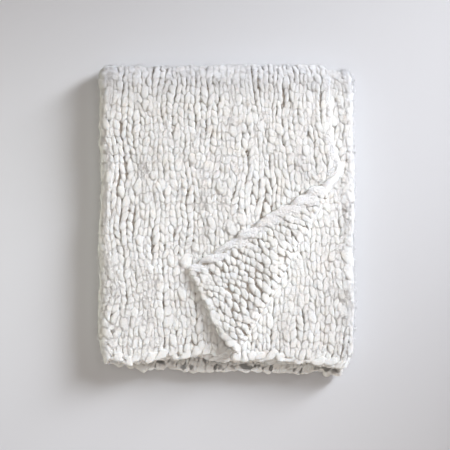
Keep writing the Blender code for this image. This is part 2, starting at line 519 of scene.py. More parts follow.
@dataclass
class YarnTree:
    """The tree that sweeps yarn paths to tubes with slubs and lumps.

    A path is a chain of mesh edges with the attributes thick (a factor on the radius), along
    (metres along the yarn) and strand (a number for each yarn).
    """

    drift_stretch: tuple[float, float, float] = (1.0, 0.55, 1.0)  # drift changes less often along v
    drift_lift: float = 0.30  # share of the drift that goes out of the sheet
    strand_gap: float = 7.31  # keeps neighbouring yarns' thick places apart
    uneven_detail: float = 1.5
    tree: bpy.types.GeometryNodeTree = field(init=False)
    graph: Graph = field(init=False)
    source: bpy.types.Node = field(init=False)

    def __post_init__(self) -> None:
        """Build the tree."""
        self.tree = bpy.data.node_groups.new("slub yarn", "GeometryNodeTree")
        interface = self.tree.interface
        interface.new_socket("Paths", in_out="INPUT", socket_type="NodeSocketGeometry")
        for item in YarnInput:
            name, kind, default = item.value
            socket = interface.new_socket(name, in_out="INPUT", socket_type=kind)
            if default is not None:
                socket.default_value = default
        interface.new_socket("Yarn", in_out="OUTPUT", socket_type="NodeSocketGeometry")
        self.graph = Graph(self.tree)
        self.source = self.tree.nodes.new("NodeGroupInput")
        self.finish(self.tube())

    def given(self, item: YarnInput) -> Value:
        """One of the tree's named inputs."""
        return Value(self.graph, self.source.outputs[item.value[0]])

    def attribute(self, name: str) -> Value:
        """A number stored on the path's points."""
        return self.graph.node("GeometryNodeInputNamedAttribute", {"Name": name})

    def drift(self, scale: YarnInput, amount: YarnInput) -> Value:
        """A smooth random offset that depends on the place in the sheet.

        Args:
            scale: the input that says how often it changes.
            amount: the input that says how far it moves.

        Returns:
            The offset.
        """
        place = self.graph.node("GeometryNodeInputPosition")
        place = self.graph.vector_math("MULTIPLY", place, self.drift_stretch)
        inputs = {"Vector": place, "Scale": self.given(scale), "Detail": 1.0}
        colour = self.graph.node("ShaderNodeTexNoise", inputs, out="Color")
        centred = self.graph.vector_math("SUBTRACT", colour, (0.5, 0.5, 0.5))
        reach = self.given(amount)
        reach = self.graph.combine(X=reach, Y=reach, Z=reach * self.drift_lift)
        return self.graph.vector_math("MULTIPLY", centred, reach)

    def unevenness(self, length: YarnInput, depth: YarnInput) -> Value:
        """How much thicker or thinner the yarn is, along its length.

        Args:
            length: the input that says how far apart the thick places are.
            depth: the input that says how strong they are.

        Returns:
            The natural logarithm of a factor on the radius.
        """
        per_length = self.attribute("along") / self.given(length)
        strand = self.attribute("strand") * self.strand_gap
        spot = self.graph.combine(X=per_length, Y=strand, Z=self.given(YarnInput.SEED))
        return (self.graph.noise(spot, 1.0, self.uneven_detail) - 0.5) * self.given(depth)

    def tube(self) -> Value:
        """Move the paths and sweep a circle along them.

        Returns:
            The tubes.
        """
        paths = Value(self.graph, self.source.outputs["Paths"])
        curve = self.graph.node("GeometryNodeMeshToCurve", {"Mesh": paths})
        wander = self.drift(YarnInput.WANDER_SCALE, YarnInput.WANDER)
        jitter = self.drift(YarnInput.JITTER_SCALE, YarnInput.JITTER)
        offset = self.graph.vector_math("ADD", wander, jitter)
        moved = self.graph.node("GeometryNodeSetPosition", {"Geometry": curve, "Offset": offset})
        slub = self.unevenness(YarnInput.SLUB_LENGTH, YarnInput.SLUB_DEPTH)
        lump = self.unevenness(YarnInput.LUMP_LENGTH, YarnInput.LUMP_DEPTH)
        uneven = self.graph.math("EXPONENT", slub + lump)
        scale = uneven * self.attribute("thick") * self.given(YarnInput.RADIUS)
        circle = {"Resolution": self.given(YarnInput.SIDES), "Radius": 1.0}
        profile = self.graph.node("GeometryNodeCurvePrimitiveCircle", circle)
        around = self.graph.node("GeometryNodeInputPosition")
        marked = self.graph.node(
            "GeometryNodeStoreNamedAttribute",
            {"Geometry": profile, "Name": "around", "Value": around},
            data_type="FLOAT_VECTOR",
            domain="POINT",
        )
        swept = {"Curve": moved, "Profile Curve": marked, "Scale": scale, "Fill Caps": True}
        tube = self.graph.node("GeometryNodeCurveToMesh", swept)
        place = self.graph.node("GeometryNodeInputPosition")
        puff = self.graph.noise(place, self.given(YarnInput.FLUFF_SCALE), 1.0) - 0.5
        puff = puff * self.given(YarnInput.FLUFF)
        out = self.graph.node("GeometryNodeInputNormal")
        swell = self.graph.vector_math("MULTIPLY", out, self.graph.combine(X=puff, Y=puff, Z=puff))
        return self.graph.node("GeometryNodeSetPosition", {"Geometry": tube, "Offset": swell})

    def finish(self, tube: Value) -> None:
        """Smooth, realize and dress the tubes.

        Args:
            tube: the tubes.
        """
        soft = self.graph.node("GeometryNodeSetShadeSmooth", {"Geometry": tube})
        whole = self.graph.node("GeometryNodeRealizeInstances", {"Geometry": soft})
        dress = {"Geometry": whole, "Material": self.given(YarnInput.MATERIAL)}
        painted = self.graph.node("GeometryNodeSetMaterial", dress)
        result = self.tree.nodes.new("NodeGroupOutput")
        self.tree.links.new(painted.socket, result.inputs["Yarn"])

    def identifier(self, item: YarnInput) -> str:
        """The identifier of an input socket.

        Args:
            item: the named input.

        Returns:
            The identifier by which a modifier is given the input's value.
        """
        for socket in self.tree.interface.items_tree:
            if socket.in_out == "INPUT" and socket.name == item.value[0]:
                return socket.identifier
        raise KeyError(item)


# ---- materials ----------------------------------------------------------------------------
@dataclass(frozen=True)
class WoolFinish:
    """The look of one kind of wool surface. A span is from where to where a change runs."""

    name: str
    light: tuple[float, float, float]
    dark: tuple[float, float, float]
    roughness: tuple[float, float] = (0.84, 0.96)
    specular: float = 0.2
    sheen: float = 0.15
    sheen_roughness: float = 0.5
    sheen_tint: tuple[float, float, float] = (1.0, 0.99, 0.97)
    glow: float = 0.70  # share of the light that passes into the wool
    glow_depth: float = 0.0022
    glow_colours: tuple[float, float, float] = (0.86, 0.93, 1.0)
    twist: float = 95.0  # how fast the fibres turn round the yarn
    streak_around: float = 3.2  # how close the fibres' streaks are round the yarn
    streak_along: float = 45.0  # and along it
    streak_scale: float = 2.2
    streak_span: tuple[float, float] = (0.3, 0.7)
    tone_scale: float = 14.0
    fleck_scale: float = 160.0
    tone_shares: tuple[float, float, float] = (0.5, 0.35, 0.15)  # slow tone, streaks, flecks
    tone_span: tuple[float, float] = (0.38, 0.62)
    warm: tuple[float, float, float] = (1.0, 0.975, 0.945)  # warmer patches are multiplied by this
    warm_scale: float = 31.0
    warm_span: tuple[float, float] = (0.56, 0.74)
    warm_share: float = 0.7
    outer: tuple[float, float, float] = (0.60, 0.61, 0.63)  # painted shade: greyer round the back fold and the right turn, where the lamps light the wool too brightly
    outer_shade_back: tuple[float, float, float] = (0.235, 0.310, 0.7)  # span in y, and share of the painted shade
    outer_shade_right: tuple[float, float, float] = (0.240, 0.270, 0.55)  # span in x, and share of the painted shade
    outer_shade_most: float = 0.75
    hollow_shade: tuple[float, float, float] = (0.30, 0.245, 0.20)  # painted shade deep between the loops
    hollow_shade_share: float = 0.85
    hollow_shade_right: tuple[float, float, float] = (0.17, 0.24, 0.35)  # span in x where the painted shade fades to a share
    spread: float = 0.74  # loose fibres scatter light, so a yarn is shaded partly as the cloth's face
    spread_span: tuple[float, float] = (0.0, 0.4)  # of how well the yarn's side and the cloth's face agree
    bump: float = 0.3
    bump_height: float = 0.0030
    tuft_scale: float = 240.0
    tuft_share: float = 0.65

    def material(self) -> bpy.types.Material:
        """Soft wool: fibre streaks that twist round the yarn over slow changes of tone.

        Returns:
            The finished material.
        """
        material = bpy.data.materials.new(self.name)
        material.use_nodes = True
        graph = Graph(material.node_tree)
        shader = material.node_tree.nodes["Principled BSDF"]
        place = graph.node("ShaderNodeTexCoord", out="Object")
        streak = self.streaks(graph)
        varying = {
            "Base Color": self.colour(graph, place, streak),
            "Roughness": graph.ramp(streak, *self.streak_span, *self.roughness),
            "Normal": self.shading(graph, place, streak),
        }
        for name, value in varying.items():
            material.node_tree.links.new(value.socket, shader.inputs[name])
        constants = {
            "Metallic": 0.0,
            "Specular IOR Level": self.specular,
            "Sheen Weight": self.sheen,
            "Sheen Roughness": self.sheen_roughness,
            "Sheen Tint": (*self.sheen_tint, 1.0),
            "Subsurface Weight": self.glow,
            "Subsurface Radius": self.glow_colours,
            "Subsurface Scale": self.glow_depth,
        }
        for name, value in constants.items():
            shader.inputs[name].default_value = value
        return material

    def streaks(self, graph: Graph) -> Value:
        """Streaks of fibres that twist round the yarn.

        Args:
            graph: the material's graph.

        Returns:
            Soft values, about 0.5.
        """
        around = graph.node("ShaderNodeAttribute", out="Vector", attribute_name="around")
        along = graph.node("ShaderNodeAttribute", out="Fac", attribute_name="along")
        turning = {"Vector": around, "Angle": along * self.twist}
        turned = graph.node("ShaderNodeVectorRotate", turning, rotation_type="Z_AXIS")
        lengthwise = graph.combine(Z=along * self.streak_along)
        closeness = (self.streak_around, self.streak_around, 0.0)
        spot = graph.vector_math("MULTIPLY_ADD", turned, closeness, lengthwise)
        return graph.noise(spot, self.streak_scale, 4.0)

    def colour(self, graph: Graph, place: Value, streak: Value) -> Value:
        """Slow tone, streaks and flecks, warmer patches, and painted shade on the turns and in the hollows.

        Args:
            graph: the material's graph.
            place: places on the piece.
            streak: the fibres' streaks.

        Returns:
            The colour.
        """
        slow, streaky, flecked = self.tone_shares
        tone = graph.noise(place, self.tone_scale, 2.0)
        fleck = graph.noise(place, self.fleck_scale, 2.0)
        mixed = tone * slow + streak * streaky + fleck * flecked
        colour = graph.mix(graph.ramp(mixed, *self.tone_span, 0.0, 1.0), self.dark, self.light)
        warmth = graph.ramp(graph.noise(place, self.warm_scale, 1.0), *self.warm_span, 0.0, self.warm_share)
        colour = graph.mix(warmth, colour, self.warm, blend_type="MULTIPLY")
        # painted shade: the back fold and the right turn are greyed towards the outer colour
        back = graph.node("ShaderNodeSeparateXYZ", {"Vector": place}, "Y")
        right = graph.node("ShaderNodeSeparateXYZ", {"Vector": place}, "X")
        *back_span, back_share = self.outer_shade_back
        *right_span, right_share = self.outer_shade_right
        outer_shade_share = graph.ramp(back, *back_span, 0.0, back_share)
        outer_shade_share = outer_shade_share + graph.ramp(right, *right_span, 0.0, right_share)
        colour = graph.mix(graph.math("MINIMUM", outer_shade_share, self.outer_shade_most), colour, self.outer)
        # painted shade: yarn deep in the cloth, between the loops, is darkened towards the hollows' shade
        # colour, less so on the right
        deep = graph.node("ShaderNodeAttribute", out="Fac", attribute_name="deep_in_cloth")
        *fade_span, fade_share = self.hollow_shade_right
        deep = deep * graph.ramp(right, *fade_span, self.hollow_shade_share, fade_share * self.hollow_shade_share)
        return graph.mix(deep, colour, self.hollow_shade)

    def shading(self, graph: Graph, place: Value, streak: Value) -> Value:
        """Which way the wool faces the light: partly the yarn's own side, partly the cloth's face.

        Args:
            graph: the material's graph.
            place: places on the piece.
            streak: the fibres' streaks.

        Returns:
            The normal, with the fibres' bump.
        """
        face = graph.node("ShaderNodeAttribute", out="Vector", attribute_name="face_of_cloth")
        own = graph.node("ShaderNodeNewGeometry", out="Normal")
        agree = graph.node("ShaderNodeVectorMath", {0: own, 1: face}, "Value", operation="DOT_PRODUCT")
        share = graph.ramp(agree, *self.spread_span, 0.0, self.spread)
        lit = graph.vector_math("NORMALIZE", graph.mix(share, own, face, Blend.VECTORS))
        if not self.bump:
            return lit
        tuft = graph.noise(place, self.tuft_scale, 2.0)
        height = streak * (1.0 - self.tuft_share) + tuft * self.tuft_share
        bump = {"Strength": self.bump, "Distance": self.bump_height, "Height": height, "Normal": lit}
        return graph.node("ShaderNodeBump", bump)


YARN_WOOL = WoolFinish("yarn_wool", (0.866, 0.878, 0.862), (0.812, 0.820, 0.794))
EDGE_WOOL = WoolFinish(
    "edge_wool", (0.885, 0.890, 0.884), (0.745, 0.750, 0.745), sheen=0.2, bump=0.9, hollow_shade_share=0.5
)
# painted shade: the backing takes the hollows' dark colour nearly all over, for the depth between the
# stitches
BACKING_SHADE_WOOL = WoolFinish(
    "backing_wool",
    (0.88, 0.86, 0.84),
    (0.82, 0.79, 0.76),
    sheen=0.1,
    glow=0.0,
    hollow_shade=(0.58, 0.53, 0.47),
    hollow_shade_share=1.0,
)
FIBRE_WOOL = WoolFinish(
    "fibre_wool", (0.87, 0.865, 0.86), (0.83, 0.825, 0.81), glow=0.0, bump=0.0, hollow_shade_share=0.0
)


@dataclass(frozen=True)
class FloorPaint:
    """A plain matt floor."""

    name: str = "floor_paint"
    colour: tuple[float, float, float] = (0.645, 0.655, 0.673)
    roughness: float = 0.9
    specular: float = 0.1

    def material(self) -> bpy.types.Material:
        """The paint as a material.

        Returns:
            The finished material.
        """
        material = bpy.data.materials.new(self.name)
        material.use_nodes = True
        shader = material.node_tree.nodes["Principled BSDF"]
        shader.inputs["Base Color"].default_value = (*self.colour, 1.0)
        shader.inputs["Roughness"].default_value = self.roughness
        shader.inputs["Specular IOR Level"].default_value = self.specular
        return material


# ---- yarn paths ---------------------------------------------------------------------------
@dataclass
class Strand:
    """One yarn path in the flat sheet, rows of (u, v, n), with its thickness along it."""

    points: np.ndarray
    thick: np.ndarray  # a factor on the yarn's radius
    number: float  # tells yarns apart

    def along(self) -> np.ndarray:
        """Metres along the yarn at each point."""
        steps = np.linalg.norm(np.diff(self.points, axis=0), axis=1)
        return np.concatenate([[0.0], np.cumsum(steps)])


def wobble(draw: np.random.Generator, marks: np.ndarray, spacing: float, amount: float) -> np.ndarray:
    """Smooth random values along a line.

    Args:
        draw: the random source.
        marks: places along the line, rising.
        spacing: distance between the random values that are joined up.
        amount: their spread.

    Returns:
        One value for each mark.
    """
    place = (marks - marks[0]) / spacing
    first = np.floor(place).astype(int)
    knots = draw.normal(0.0, amount, first[-1] + 2)
    share = smooth(place - first)
    return knots[first] * (1 - share) + knots[first + 1] * share


def patches(places: np.ndarray, seed: int) -> np.ndarray:
    """Smooth random values from -1 to 1 over a plane, a unit apart.

    Args:
        places: rows of two coordinates.
        seed: the random source's seed.

    Returns:
        One value for each row.
    """
    low = places.min(axis=0)
    cell = np.floor(places - low).astype(int)
    share = smooth(places - low - cell)
    knots = np.random.default_rng(seed).uniform(-1.0, 1.0, tuple(cell.max(axis=0) + 2))
    across, along = cell[:, 0], cell[:, 1]
    near = knots[across, along] * (1 - share[:, 0]) + knots[across + 1, along] * share[:, 0]
    far = knots[across, along + 1] * (1 - share[:, 0]) + knots[across + 1, along + 1] * share[:, 0]
    return near * (1 - share[:, 1]) + far * share[:, 1]


@dataclass
class Knit:
    """Stockinette in the flat sheet: how its loops run, and which of them are made."""

    fold: Fold
    wales: int = 71
    courses: int = 73
    margin: float = 0.011  # the twisted edges take this much of each side of the panel
    reach: float = 0.0136  # half the height of a loop, so each reaches into the next course
    squareness: float = 2.0
    lean: float = 0.0052  # how far the legs of a loop lean out towards its head
    pair: float = 0.0004  # how far the legs of a stitch draw together
    depth: float = 0.0050  # legs stand this far in front of the middle surface, heads behind it
    leaf: float = 0.36  # legs and heads are thicker than what joins them by this share
    flatten: float = 0.90
    press_limit: float = 0.0085  # soft yarn is pressed level near this height
    plump: float = 0.38  # some patches stand fuller than others by this share
    plump_size: float = 0.019
    left_crowd: float = 0.55  # extra wales round the side turns, whose outside is longer
    right_crowd: float = 0.90
    crowd_ease: float = 0.012
    wale_spread: float = 0.08  # wales differ in width by about this share
    wale_most: float = 0.2  # and never by more than this
    unevenness: tuple[float, float, float] = (0.0010, 0.0012, 0.0008)  # in u, v and n
    uneven_every: float = 0.31  # of a stitch
    front_shown: tuple[float, float] = (-0.262, -0.255)  # all of the lower and upper half shows in front
    inner_shown: float = 0.165  # x past which the upper inner panel shows
    corner_shown: float = -0.035  # and it shows from here on towards the turned corner
    turn_shown: float = 0.17  # x past which the back turn's inner panels show
    samples: int = 1500  # of the table
    seed: int = 11
    table: np.ndarray = field(init=False)  # rows of (stitches from the free side edge, u)

    def __post_init__(self) -> None:
        """Set out where each stitch lies across the sheet."""
        fold = self.fold
        u = np.linspace(self.margin, fold.width - self.margin, self.samples)
        change = wobble(np.random.default_rng(self.seed), u, self.wale, self.wale_spread)
        density = 1.0 + np.clip(change, -self.wale_most, self.wale_most)
        for start, end, extra in (
            (fold.top_panel, fold.middle_start, self.left_crowd),
            (fold.middle_end, fold.inner_start, self.right_crowd),
        ):
            inside = smooth((u - start) / self.crowd_ease + 0.5) * smooth((end - u) / self.crowd_ease + 0.5)
            density = density + extra * inside
        count = np.concatenate([[0.0], np.cumsum((density[1:] + density[:-1]) / 2)])
        self.table = np.stack([count * self.wales / count[-1], u])

    @property
    def course(self) -> float:
        """Height of a course."""
        return (self.fold.length - 2 * self.margin) / self.courses

    @property
    def wale(self) -> float:
        """Usual width of a wale."""
        return (self.fold.width - 2 * self.margin) / self.wales

    def across(self, stitch: np.ndarray) -> np.ndarray:
        """Flat place u of a place counted in stitches; wales crowd a little round the turns."""
        return np.interp(stitch, *self.table)

    def course_v(self, course: int) -> float:
        """Flat place v of the middle of a course, from 0 at the front edge of the lower half."""
        return -self.fold.half_length + self.margin + (course + 0.5) * self.course

    def loops(self, stitch: np.ndarray, course: int) -> np.ndarray:
        """The even path of one course's yarn.

        Args:
            stitch: places along the course, counted in stitches from the free side edge.
            course: row of knitting.

        Returns:
            Rows of (u, v, n) in the flat sheet.
        """
        turn = 2 * math.pi * stitch
        rise = np.tanh(self.squareness * np.cos(turn)) / math.tanh(self.squareness)
        return np.stack(
            [
                self.across(stitch) + self.lean * np.sin(2 * turn) - self.pair * np.sin(turn),
                self.course_v(course) + self.reach * rise,
                -self.depth * np.cos(2 * turn),
            ],
            axis=1,
        )

    def shown(self, course: int) -> np.ndarray:
        """Which stitches of a course can be seen from any side of the folded blanket.

        Args:
            course: row of knitting.

        Returns:
            A flag for each stitch.
        """
        fold = self.fold
        u = self.across(np.arange(self.wales) + 0.5)
        v = np.full(self.wales, self.course_v(course))
        x, _, middle = fold.letter(u, 0 * u)
        y, _ = fold.half(v, middle, middle)
        upper = v > 0
        lower_front, upper_front = self.front_shown
        front = y < np.where(upper, upper_front, lower_front)
        top_panel = u < fold.middle_start + self.wale
        side = (x < fold.left_axis + self.wale) | (x > fold.right_axis - 1.5 * self.wale)
        inner = u > fold.inner_start - self.wale
        uncovered = upper & inner & (x > self.inner_shown)
        corner = upper & inner & (fold.roll_distance(x, y)[0] > self.corner_shown)
        turn = (np.abs(v) < fold.back_arc) & (x > self.turn_shown)
        near_side = side & (u < fold.inner_start + 2 * self.wale)
        return top_panel | near_side | uncovered | corner | front | turn

    def strands(self, course: int, steps: int, slubs: "Slubs") -> Iterator[Strand]:
        """The yarn of one course, wherever it shows.

        Args:
            course: row of knitting.
            steps: points on the path for each stitch.
            slubs: the fat places of the yarn.

        Yields:
            A strand for each stretch of stitches that show.
        """
        for first, last in runs(self.shown(course)):
            draw = np.random.default_rng((self.seed, course, first))
            stitch = np.linspace(first, last, (last - first) * steps + 1)
            points = self.loops(stitch, course)
            for axis, amount in enumerate(self.unevenness):
                points[:, axis] += wobble(draw, stitch, self.uneven_every, amount)
            leaves = self.leaf * np.cos(8 * math.pi * stitch)  # four to a stitch: two legs, two heads
            thick = 1.0 + leaves + slubs.thickness(stitch, course)
            yield Strand(slubs.push(points), thick, float(course) + first / self.wales)

    def press(self, flat: np.ndarray) -> np.ndarray:
        """Press soft yarn level: heights close up towards a limit.

        Args:
            flat: rows of (u, v, n).

        Returns:
            The same rows with n pressed.
        """
        pressed = flat.copy()
        level = self.press_limit * np.tanh(flat[:, 2] * self.flatten / self.press_limit)
        pressed[:, 2] = level * (1.0 + self.plump * patches(flat[:, :2] / self.plump_size, self.seed))
        return pressed


def runs(flags: np.ndarray) -> Iterator[tuple[int, int]]:
    """Stretches of true flags, as first and one past last."""
    edges = np.flatnonzero(np.diff(np.concatenate([[0], flags.astype(int), [0]])))
    return zip(edges[::2].tolist(), edges[1::2].tolist())


@dataclass(frozen=True)
class Slub:
    """A fat place in the yarn of one course."""

    course: int
    stitch: float
    boost: float  # extra thickness, as a share of the radius
    half: float  # about half its length, in stitches


@dataclass
class Slubs:
    """All the fat places of the knit, and how they push the yarn beside them."""

    knit: Knit
    count: int = 2600
    seed: int = 20
    push_across: float = 0.0085  # a slub pushes its neighbours over this far to the side
    push_along: float = 0.0130  # and over this far along the wale
    push_until: float = 3.0  # times these distances, past which nothing moves
    clear: float = 0.3  # of a stitch at both sides has none
    boost_least: float = 0.20
    boost_range: float = 0.70
    boost_rarity: float = 1.3  # above 1, fat slubs are rarer than slight ones
    halves: tuple[float, float] = (0.12, 0.28)
    by_course: dict[int, list[Slub]] = field(default_factory=dict)
    items: list[Slub] = field(default_factory=list)
    places: np.ndarray = field(init=False)

    def __post_init__(self) -> None:
        """Draw the slubs."""
        draw = np.random.default_rng(self.seed)
        for _ in range(self.count):
            item = Slub(
                course=int(draw.integers(0, self.knit.courses)),
                stitch=float(draw.uniform(self.clear, self.knit.wales - self.clear)),
                boost=float(self.boost_least + self.boost_range * draw.random() ** self.boost_rarity),
                half=float(draw.uniform(*self.halves)),
            )
            self.items.append(item)
            self.by_course.setdefault(item.course, []).append(item)
        self.places = np.array(
            [self.knit.loops(np.array([item.stitch]), item.course)[0, :2] for item in self.items]
        )

    def thickness(self, stitch: np.ndarray, course: int) -> np.ndarray:
        """Extra thickness of a course's yarn, as a share of the radius.

        Args:
            stitch: places along the course, counted in stitches.
            course: row of knitting.

        Returns:
            One value for each place.
        """
        extra = np.zeros_like(stitch)
        for item in self.by_course.get(course, []):
            extra += item.boost * np.exp(-(((stitch - item.stitch) / item.half) ** 2))
        return extra

    def push(self, points: np.ndarray) -> np.ndarray:
        """Move points away from the slubs near them.

        Args:
            points: rows of (u, v, n).

        Returns:
            The rows, moved across the sheet.
        """
        moved = points.copy()
        far_across, far_along = self.push_until * self.push_across, self.push_until * self.push_along
        for item, (u, v) in zip(self.items, self.places):
            du, dv = points[:, 0] - u, points[:, 1] - v
            near = np.flatnonzero((np.abs(du) < far_across) & (np.abs(dv) < far_along))
            if near.size == 0:
                continue
            side, end = du[near] / self.push_across, dv[near] / self.push_along
            fade = np.exp(-(side**2) / 2 - end**2 / 2)
            moved[near, 0] += YARN_RADIUS * item.boost * side * fade
        return moved


@dataclass(frozen=True)
class Band:
    """A run of courses that makes one piece."""

    name: str
    first: int
    last: int
    steps: int  # points on the path for each stitch
    sides: int  # of the tube


BANDS = (
    Band("knit_lower_front", first=0, last=5, steps=16, sides=8),
    Band("knit_lower_middle", first=6, last=19, steps=12, sides=6),
    Band("knit_lower_back", first=20, last=31, steps=12, sides=6),
    Band("knit_back_turn", first=32, last=41, steps=18, sides=8),
    Band("knit_upper_back", first=42, last=52, steps=22, sides=8),
    Band("knit_upper_middle", first=53, last=62, steps=22, sides=8),
    Band("knit_upper_front", first=63, last=72, steps=22, sides=8),
)


@dataclass(frozen=True)
class TwistedEdge:
    """Two soft plies twisted along one side of the panel."""

    name: str
    along_u: bool  # runs across the sheet, or else along it
    at: float  # v of an edge across the sheet, u of one along it
    start: float
    end: float
    turn_length: float  # of the twist
    helix: float  # how far each ply's middle is from the edge's line
    radius: float
    lift: float
    spindle: float  # plies are thicker by this share on top and below, and thinner at the sides
    steps: int = 20  # points on the path for each turn
    flatness: float = 0.9  # height of the twist as a share of its width
    unevenness: float = 0.0011
    uneven_along: float = 0.4  # of a turn
    uneven_across: float = 0.5
    hurry: float = 0.55  # radians by which the twist runs ahead or behind
    hurry_every: float = 0.9
    taper: float = 0.0  # thinner by this share at its end, over the last taper_length
    taper_length: float = 0.24
    slim: float = 0.0  # thinner by this share up to slim_until, fading out over slim_length
    slim_until: float = 0.0
    slim_length: float = 0.08
    blunt: float = 0.02  # the square of the ends' least thickness, as a share
    seed: int = 5

    def strands(self) -> Iterator[Strand]:
        """The two plies.

        Yields:
            A strand for each.
        """
        length = self.end - self.start
        turns = length / self.turn_length
        share = np.linspace(0.0, 1.0, round(turns * self.steps) + 1)
        draw = np.random.default_rng((self.seed, round(1000 * abs(self.at))))
        hurry = wobble(draw, share * turns, self.hurry_every, self.hurry)
        for ply in range(2):
            angle = 2 * math.pi * turns * share + math.pi * ply + hurry
            line = self.start + length * share
            line = line + wobble(draw, share * turns, self.uneven_along, self.unevenness)
            full = 1.0 - self.slim * (1.0 - smooth((line - self.slim_until) / self.slim_length + 1))
            helix = self.helix * full
            away = self.at + helix * np.sin(angle)
            away = away + wobble(draw, share * turns, self.uneven_across, self.unevenness)
            height = self.lift + helix * self.flatness * np.cos(angle)
            flat = (line, away, height) if self.along_u else (away, line, height)
            tapering = 1.0 - self.taper * smooth((line - self.end) / self.taper_length + 1)
            from_end = np.minimum(line - self.start, self.end - line)
            rounding = np.sqrt(np.clip(from_end / self.radius, self.blunt, 1.0))
            thick = (1.0 + self.spindle * np.cos(2 * angle)) * tapering * rounding * full
            thick *= self.radius / YARN_RADIUS
            yield Strand(np.stack(flat, axis=1), thick, EDGE_NUMBER + 10 * self.at + ply)


def edges_of(fold: Fold) -> tuple[TwistedEdge, ...]:
    """The three edges that show.

    Args:
        fold: the folded pack.

    Returns:
        The cast-on and bind-off edges at the front, and the selvedge of the top layer.
    """
    end = fold.half_length
    inset = 0.0095
    across = {"along_u": True, "start": 0.004, "end": fold.width, "lift": 0.0030, "spindle": 0.36}
    upper = {"turn_length": 0.042, "helix": 0.0052, "radius": 0.0064, "unevenness": 0.0028}
    lower = {"turn_length": 0.046, "helix": 0.0054, "radius": 0.0076, "unevenness": 0.0026}
    return (
        TwistedEdge("edge_cast_on", at=end - inset, **across, **upper),
        TwistedEdge("edge_bind_off", at=-end + inset, **across, **lower),
        TwistedEdge(
            "edge_selvedge",
            along_u=False,
            at=0.0085,
            start=-end + 0.006,
            end=end - 0.006,
            turn_length=0.084,
            helix=0.0064,
            radius=0.0116,
            lift=-0.0016,
            spindle=0.14,
            taper=0.30,
            slim=0.48,
            slim_until=0.225,
        ),
    )


@dataclass(frozen=True)
class Zone:
    """A part of the sheet where stray fibres grow."""

    share: float  # of all fibres
    across: tuple[float, float]  # u from and to
    along: tuple[float, float]  # v from and to
    stand: float  # times the usual lift


@dataclass(frozen=True)
class Fuzz:
    """Stray fibres that stand off the knit's visible faces."""

    fold: Fold
    count: int = 5000
    length: tuple[float, float] = (0.010, 0.027)
    radius: tuple[float, float] = (0.00018, 0.00032)
    root: tuple[float, float] = (0.0052, 0.0070)  # heights where fibres leave the yarn
    lift: float = 0.0042  # their middles stand off by up to this
    curl: float = 1.3
    side_clear: float = 0.002
    edge_clear: float = 0.0005
    round_turn: float = 0.010  # fibres of the side turns grow this far on to the flat panels
    under_back: float = 0.05  # fibres of the top layer start this far under the fold at the back
    points: int = 7
    seed: int = 8

    def zones(self) -> tuple[Zone, ...]:
        """Where fibres grow.

        Returns:
            The top layer, the left turns, the right turns and the turn at the back.
        """
        fold = self.fold
        whole = (-fold.half_length, fold.half_length)
        left = (fold.top_panel - self.round_turn, fold.middle_start)
        right = (fold.middle_end - self.round_turn, fold.inner_start + self.round_turn)
        return (
            Zone(0.52, (self.side_clear, fold.top_panel), (-self.under_back, fold.half_length), 1.0),
            Zone(0.14, left, whole, 1.7),
            Zone(0.22, right, whole, 2.0),
            Zone(0.12, (self.side_clear, fold.inner_start), (-fold.back_arc, fold.back_arc), 1.7),
        )

    def side_of(self, u: float, v: float) -> float:
        """Which face of the cloth looks outwards at a place.

        Args:
            u, v: the flat place.

        Returns:
            -1 past the crest of the turned corner, 1 everywhere else.
        """
        fold = self.fold
        u0, v0 = np.array([u]), np.array([v])
        x, _, middle = fold.letter(u0, 0 * u0)
        beyond = fold.roll_distance(x, fold.half(v0, middle, middle)[0])[0][0]
        turned = u < fold.top_panel and v > fold.back_arc and beyond > fold.roll_front * math.pi / 2
        return -1.0 if turned else 1.0

    def strands(self) -> Iterator[Strand]:
        """The fibres.

        Yields:
            One short curved path for each.
        """
        draw = np.random.default_rng(self.seed)
        reach = self.fold.half_length
        zones = self.zones()
        chosen = draw.choice(len(zones), self.count, p=[zone.share for zone in zones])
        share = np.linspace(0.0, 1.0, self.points)
        for number, index in enumerate(chosen.tolist()):
            zone = zones[index]
            u, v = draw.uniform(*zone.across), draw.uniform(*zone.along)
            heading = draw.uniform(0, 2 * math.pi) + draw.normal(0.0, self.curl) * share
            step = draw.uniform(*self.length) / (self.points - 1)
            rise = zone.stand * draw.uniform(0.0, self.lift)
            height = draw.uniform(*self.root) + rise * np.sin(math.pi * share)
            across = u + np.concatenate([[0.0], np.cumsum(step * np.cos(heading[1:]))])
            along = v + np.concatenate([[0.0], np.cumsum(step * np.sin(heading[1:]))])
            across = np.maximum(across, self.edge_clear)
            along = np.clip(along, -reach, reach)
            path = np.stack([across, along, self.side_of(u, v) * height], axis=1)
            thick = np.full(self.points, draw.uniform(*self.radius) / YARN_RADIUS)
            yield Strand(path, thick, float(number))


